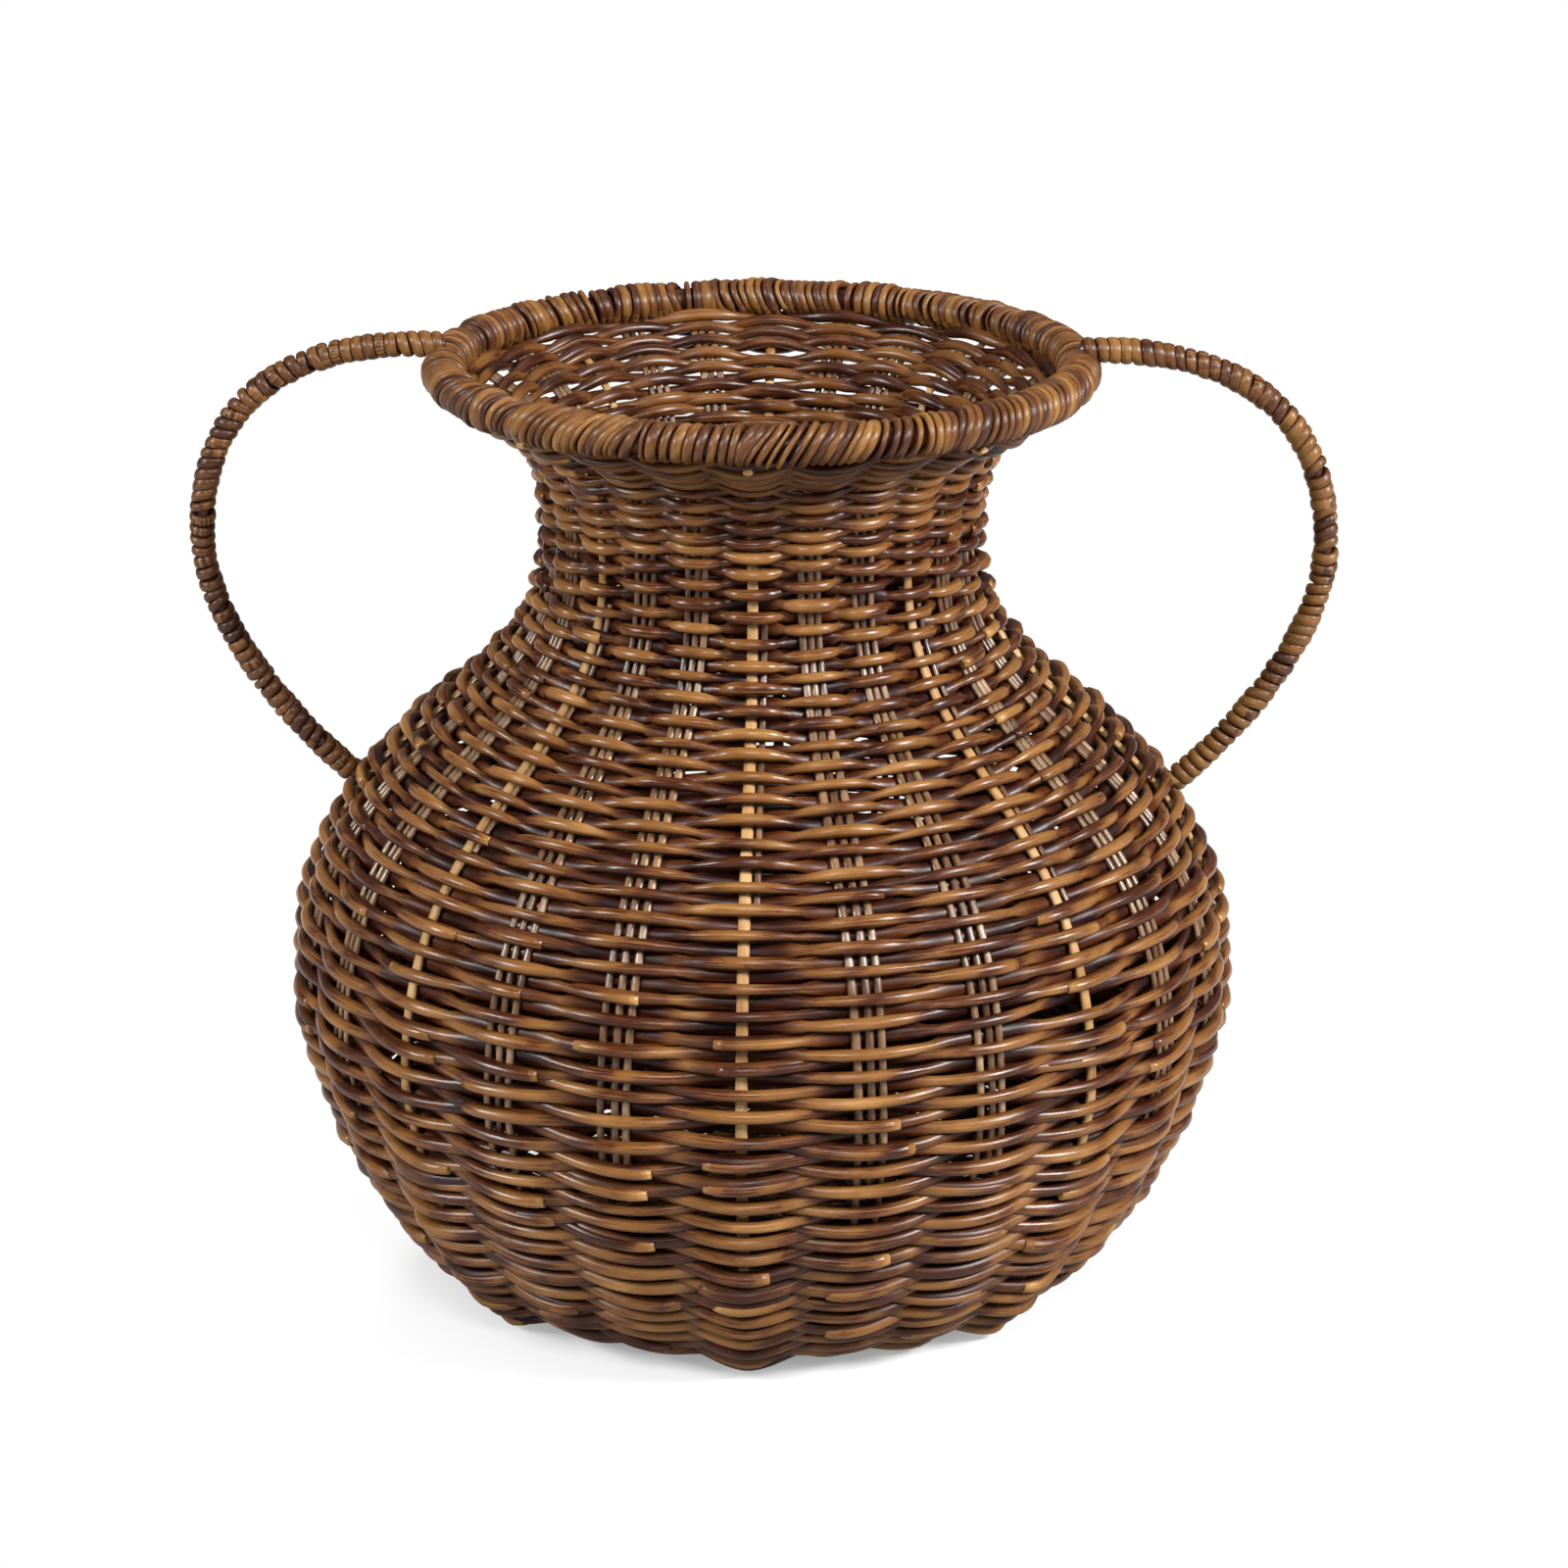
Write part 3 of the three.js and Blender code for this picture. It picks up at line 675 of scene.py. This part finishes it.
# how far each turn is pushed along from an even pitch: small steps, with a wider gap here and there
def looseTurns(turns, count, spread, gaps):
    steps = dice.normal(0, spread, count + 2) + winding["wideGap"] * (dice.random(count + 2) < gaps)
    loose = np.cumsum(steps)
    loose = loose - np.linspace(0, loose[-1], len(loose))
    return np.interp(turns, np.arange(len(loose)), loose)


rim = dict(
    radius=94.2, height=282.0, hoop=3.75, hoopSteps=181, hoopSides=12,
    turnsPerHalf=102, steps=20, startTurn=215.0, wide=1.38, wideSpread=0.22, thick=1.22, far=5.05,
    slant=(0.2, 3.8), slantTurns=(2, 8), lean=30.0, loose=0.46, gaps=0.12,
    proud=(-0.55, 0.55), proudTurns=(1, 3), edges=0.95, endRoom=0.25, endTurns=5, endGap=1.0,
)


# the hoop's centre line from angle begin, u millimetres round
def hoopFrom(begin):
    def core(u):
        angle = begin + u / rim["radius"]
        side = np.stack([np.cos(angle), np.sin(angle), np.zeros_like(angle)], -1)
        point = rim["radius"] * side + np.array([0, 0, rim["height"]])
        return point, side, np.broadcast_to([0.0, 0.0, 1.0], side.shape)
    return core


# each turn leans by its group's slant: u = turns * pitch + slant * sin(turn - lean)
def addRimHalf(name, node, begin, look):
    count = look["turnsPerHalf"]
    turns = np.linspace(0, count, count * look["steps"] + 1)
    whole = np.minimum(np.floor(turns).astype(int), count - 1)
    half = np.pi * look["radius"]
    turn = turns * fullTurn + math.radians(look["startTurn"])
    slant = byGroup(turns, *look["slant"], *look["slantTurns"])
    u = half / (count + 2 * look["endRoom"]) * (turns + look["endRoom"])
    u = u + looseTurns(turns, count, look["loose"], look["gaps"])
    u = u + slant * np.sin(turn - math.radians(look["lean"]))
    inner = smooth(0, look["endTurns"], turns) * smooth(count, count - look["endTurns"], turns)
    u = np.clip(u, look["endGap"], half - look["endGap"]) * (1 - inner) + u * inner
    far = look["far"] + byGroup(turns, *look["proud"], *look["proudTurns"])
    wide = look["wide"] * (1 + dice.normal(0, look["wideSpread"], count))[whole]
    thick = np.full(turns.shape, look["thick"])
    strand = dice.random(count)[whole]
    piece = addBinding(name, hoopFrom(begin), u, turn, far, wide, thick, strand, bindingCane, look["edges"])
    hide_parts(node)


coreTone = 0.4  # the strand number of every core


# a plain round core along a path of points in one plane, whose normal is given
def addCore(name, node, points, planeNormal, radius, sides, finish):
    centre = points[None]
    shape = centre.shape[:2]
    normal = np.broadcast_to(np.array(planeNormal, float), centre.shape)
    facing = np.cross(normal, np.gradient(centre, axis=1))
    thick = np.full(shape, radius)
    strand = np.full(shape, coreTone)
    # painted shade over the whole core, which shows only in the gaps between the strands
    shadeAndPaleTip = np.ones((1, 1, 1))
    piece = addTubes(name, centre, facing, thick, thick, sides, strand, shadeAndPaleTip, finish)
    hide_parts(node)


addRimHalf("rim_binding_back_strands", "rim_binding_back", 0.0, rim)
addRimHalf("rim_binding_front_strands", "rim_binding_front", np.pi, rim)
hoopLine = hoopFrom(0.0)(np.linspace(0, fullTurn * rim["radius"], rim["hoopSteps"]))[0]
addCore("rim_hoop_cane", "rim_hoop", hoopLine, (0, 0, 1), rim["hoop"], rim["hoopSides"], bindingCane)


# Handles

handle = dict(
    core=1.95, coreSteps=90, coreSides=10, top=288.05, rimSide=100.44, overRimSteps=30,
    reach=(169.0, 228.0), topRun=49.0, crownDrop=35.0, sideDrop=30.0,
    footHeight=151.0, footRun=20.0, inWall=1.3, begin=1.0, end=3.6, pastBegin=0.6, pastEnd=0.4,
    pitch=3.4, steps=18, wide=1.76, wideSpread=0.10, thick=1.0, far=2.95,
    slant=(-0.8, 1.5), slantTurns=(1, 4), lean=-40.0, endTurns=2, loose=0.16,
    proud=(-0.2, 0.25), proudTurns=(1, 2), toneTurns=(1, 5), edges=0.9,
)


# over the hoop, out level, round and down, and square into the wall at the foot
def handlePath(look):
    radius, height, outR, outZ = (float(v) for v in onLine(np.array(lengthAtHeight(look["footHeight"]))))
    outWay = np.array([outR, outZ])
    foot = np.array([radius, height]) + look["inWall"] * outWay
    reach = np.array(look["reach"])
    begin = np.array([rim["radius"], look["top"]])
    rimSide = np.array([look["rimSide"], look["top"]])
    pieces = [
        np.linspace(begin, rimSide, look["overRimSteps"]),
        curve(rimSide, rimSide + (look["topRun"], 0), reach + (0, look["crownDrop"]), reach)[1:],
        curve(reach, reach - (0, look["sideDrop"]), foot + look["footRun"] * outWay, foot)[1:],
    ]
    return np.concatenate(pieces)


handlePoints = handlePath(handle)
handleLength = np.concatenate([[0], np.cumsum(np.linalg.norm(np.diff(handlePoints, axis=0), axis=1))])
handleWay = unit(np.gradient(handlePoints, handleLength, axis=0))


# mirror is 1 for the right handle and -1 for the left, which is the right one turned half round
def handleCore(mirror):
    def core(u):
        r, z, wayR, wayZ = (np.interp(u, handleLength, values) for values in (*handlePoints.T, *handleWay.T))
        zero = np.zeros_like(u)
        point = np.stack([mirror * r, zero, z], -1)
        side = np.stack([mirror * wayZ, zero, -wayR], -1)
        return point, side, np.stack([zero, zero + mirror, zero], -1)
    return core


def addHandle(name, mirror, look):
    begin = look["begin"]
    end = handleLength[-1] - look["end"]
    count = int((end - begin) / look["pitch"])
    turns = np.linspace(0, count, count * look["steps"] + 1)
    whole = np.minimum(np.floor(turns).astype(int), count - 1)
    turn = turns * fullTurn
    slant = byGroup(turns, *look["slant"], *look["slantTurns"])
    slant = slant * smooth(0, look["endTurns"], turns) * smooth(count, count - look["endTurns"], turns)
    u = begin + (end - begin) * turns / count + looseTurns(turns, count, look["loose"], 0.0)
    u = u + slant * np.sin(turn - math.radians(look["lean"]))
    u = np.clip(u, begin - look["pastBegin"], end + look["pastEnd"])
    far = look["far"] + byGroup(turns, *look["proud"], *look["proudTurns"])
    wide = look["wide"] * (1 + dice.normal(0, look["wideSpread"], count))[whole]
    thick = np.full(turns.shape, look["thick"])
    strand = byGroup(turns, 0.0, 1.0, *look["toneTurns"])
    piece = addBinding(
        "handle_binding_%s_strands" % name, handleCore(mirror), u, turn, far, wide, thick,
        strand, handleCane, look["edges"])
    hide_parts("handle_binding_%s" % name)
    points = handleCore(mirror)(np.linspace(0, handleLength[-1], look["coreSteps"]))[0]
    node = "handle_core_%s" % name
    addCore(node + "_cane", node, points, (0, mirror, 0), look["core"], look["coreSides"], thinCane)


addHandle("right", 1, handle)
addHandle("left", -1, handle)


# Base: rows woven round spokes on a shallow dish

base = dict(
    rod=1.4, flat=1.24, pitch=3.55, inner=5.6, outer=92.5, lift=2.7, ringSteps=289, sides=8,
    outerFrom=46, middleFrom=24, crossings=(24, 12, 6), wander=((1, 2, 5), 0.12),
    level=4.25, dish=1.9, dishRadius=(46, 0), edgeRise=1.95, edgeRadius=(78, 95),
    spoke=1.3, spokesFrom=(0.0, 22.0, 44.0), spokesTo=93.0, spokeSteps=40,
)


def baseLevel(radius):
    edge = base["edgeRise"] * smooth(*base["edgeRadius"], radius)
    return base["level"] + edge + base["dish"] * smooth(*base["dishRadius"], radius)


# rows: height = level + lift * cos(crossings/2 * theta), with fewer crossings near the middle
def addBaseRows(look):
    count = int((look["outer"] - look["inner"]) / look["pitch"]) + 1
    radius = np.linspace(look["inner"], look["outer"], count)
    theta = np.broadcast_to(np.linspace(0, fullTurn, look["ringSteps"]), (count, look["ringSteps"]))
    most, some, fewest = look["crossings"]
    crossings = np.where(radius > look["middleFrom"], some, fewest)
    crossings = np.where(radius > look["outerFrom"], most, crossings)
    wave = np.cos(crossings[:, None] / 2 * theta + np.pi * np.arange(count)[:, None])
    r = radius[:, None] + wander(theta, *look["wander"])
    centre = np.stack([r * np.cos(theta), r * np.sin(theta), baseLevel(r) + wave * look["lift"]], -1)
    facing = np.broadcast_to([0.0, 0.0, 1.0], centre.shape)
    thick = np.full(theta.shape, look["rod"])
    strand = np.broadcast_to(dice.random((count, 1)), theta.shape)
    # painted shade in the crossings of the base rows
    shadeAndPaleTip = (1 - np.abs(wave))[..., None]
    wide = thick * look["flat"]
    piece = addTubes("base_rows", centre, facing, thick, wide, look["sides"], strand, shadeAndPaleTip, weaveCane)
    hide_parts("base_weave")


# spokes: straight rods from the middle out, some of which start further out
def addBaseSpokes(look):
    number = np.arange(len(placeAngle))
    fromMiddle, further, furthest = look["spokesFrom"]
    inner = np.where(number % 4 == 0, fromMiddle, np.where(number % 2 == 0, further, furthest))[:, None]
    r = inner + (look["spokesTo"] - inner) * np.linspace(0, 1, look["spokeSteps"])
    angle = placeAngle[:, None]
    centre = np.stack([r * np.cos(angle), r * np.sin(angle), baseLevel(r)], -1)
    facing = np.broadcast_to([0.0, 0.0, 1.0], centre.shape)
    thick = np.full(r.shape, look["spoke"])
    strand = np.broadcast_to(dice.random((len(number), 1)), r.shape)
    shadeAndPaleTip = np.zeros((1, 1, 1))
    piece = addTubes("base_spokes", centre, facing, thick, thick, look["sides"], strand, shadeAndPaleTip, thinCane)


addBaseRows(base)
addBaseSpokes(base)


# Floor, light and camera

studio = dict(
    floorHalf=6.0, floorSeen=0.86, floorLit=0.42, near=0.05, far=0.155, world=0.16,
    lamps=dict(
        right=dict(place=(1.45, -0.70, 1.10), size=0.50, watts=63.0),
        left=dict(place=(-1.45, -0.70, 0.95), size=0.50, watts=32.0),
        front=dict(place=(0.15, -1.35, 1.25), size=0.50, watts=15.0),
        top=dict(place=(0.10, 0.50, 1.80), size=1.00, watts=4.0),
        back=dict(place=(-0.45, 1.45, 1.00), size=0.60, watts=26.0, glints=False),
    ),
    aim=(0, 0, 0.15),
)


# a pale floor that keeps the shadow near the vase; the camera sees it fade to plain white further out,
# by share = smoothstep(near, far, distance from the middle), and it throws little light back up
def addFloor(look):
    mesh = bpy.data.meshes.new("floor")
    half = look["floorHalf"]
    corners = [(-half, -half, 0), (half, -half, 0), (half, half, 0), (-half, half, 0)]
    mesh.from_pydata(corners, [], [(0, 1, 2, 3)])
    finish, tree = newFinish("paleFloor")
    link = tree.links.new
    rays = addNode(tree, "ShaderNodeLightPath")
    skin = addNode(tree, "ShaderNodeBsdfDiffuse")
    grey = addNode(tree, "ShaderNodeMix", set_data_type="RGBA")
    link(rays.outputs["Is Camera Ray"], grey.inputs[0])
    grey.inputs[6].default_value = (*(look["floorLit"],) * 3, 1)
    grey.inputs[7].default_value = (*(look["floorSeen"],) * 3, 1)
    link(grey.outputs[2], skin.inputs["Color"])
    white = addNode(tree, "ShaderNodeEmission")
    white.inputs["Color"].default_value = (1, 1, 1, 1)
    place = addNode(tree, "ShaderNodeTexCoord")
    distance = addNode(tree, "ShaderNodeVectorMath", set_operation="LENGTH")
    link(place.outputs["Object"], distance.inputs[0])
    fade = addNode(tree, "ShaderNodeMapRange", set_interpolation_type="SMOOTHSTEP")
    fade.inputs["From Min"].default_value = look["near"]
    fade.inputs["From Max"].default_value = look["far"]
    link(distance.outputs["Value"], fade.inputs["Value"])
    both = addNode(tree, "ShaderNodeMixShader")
    link(addMath(tree, "MULTIPLY", fade.outputs["Result"], rays.outputs["Is Camera Ray"]), both.inputs[0])
    link(skin.outputs[0], both.inputs[1])
    link(white.outputs[0], both.inputs[2])
    out = addNode(tree, "ShaderNodeOutputMaterial")
    link(both.outputs[0], out.inputs[0])
    mesh.materials.append(finish)
    floor = bpy.data.objects.new("floor", mesh)
    bpy.context.scene.collection.objects.link(floor)


# the world is white to the camera and plain grey light to everything else
def addWorld(look):
    world = bpy.data.worlds.new("studio")
    world.use_nodes = True
    tree = world.node_tree
    tree.nodes.clear()
    rays = addNode(tree, "ShaderNodeLightPath")
    shown = addMath(tree, "MAXIMUM", rays.outputs["Is Camera Ray"], rays.outputs["Is Transmission Ray"])
    level = addMath(tree, "ADD", addMath(tree, "MULTIPLY", shown, 1.0 - look["world"]), look["world"])
    sky = addNode(tree, "ShaderNodeBackground")
    sky.inputs["Color"].default_value = (1, 1, 1, 1)
    tree.links.new(level, sky.inputs["Strength"])
    out = addNode(tree, "ShaderNodeOutputWorld")
    tree.links.new(sky.outputs[0], out.inputs[0])
    bpy.context.scene.world = world


def aimAt(thing, place, target):
    thing.location = place
    thing.rotation_euler = (Vector(target) - Vector(place)).to_track_quat("-Z", "Y").to_euler()
    bpy.context.scene.collection.objects.link(thing)


def addLamps(look):
    for name, values in look["lamps"].items():
        lamp = bpy.data.lights.new(name, "AREA")
        lamp.shape = "DISK"
        lamp.size = values["size"]
        lamp.energy = values["watts"]
        made = bpy.data.objects.new(name, lamp)
        made.visible_glossy = values.get("glints", True)
        aimAt(made, values["place"], look["aim"])


view = dict(
    distance=1.4, elevation=18.57, azimuth=2.3, aim=0.1513, focal=4667.0, shift=23.0, frame=1600,
    sensor=36.0, clip=(0.05, 50),
)


def addCamera(look):
    lens = bpy.data.cameras.new("camera")
    lens.sensor_width = look["sensor"]
    lens.lens = look["focal"] / look["frame"] * look["sensor"]
    lens.shift_x = look["shift"] / look["frame"]
    lens.clip_start, lens.clip_end = look["clip"]
    made = bpy.data.objects.new("camera", lens)
    a = math.radians(look["azimuth"])
    e = math.radians(look["elevation"])
    target = Vector((0, 0, look["aim"]))
    back = Vector((math.sin(a) * math.cos(e), -math.cos(a) * math.cos(e), math.sin(e)))
    aimAt(made, target + back * look["distance"], target)
    bpy.context.scene.camera = made


addFloor(studio)
addWorld(studio)
addLamps(studio)
addCamera(view)
bpy.context.scene.view_settings.view_transform = "Standard"
print("stage set")
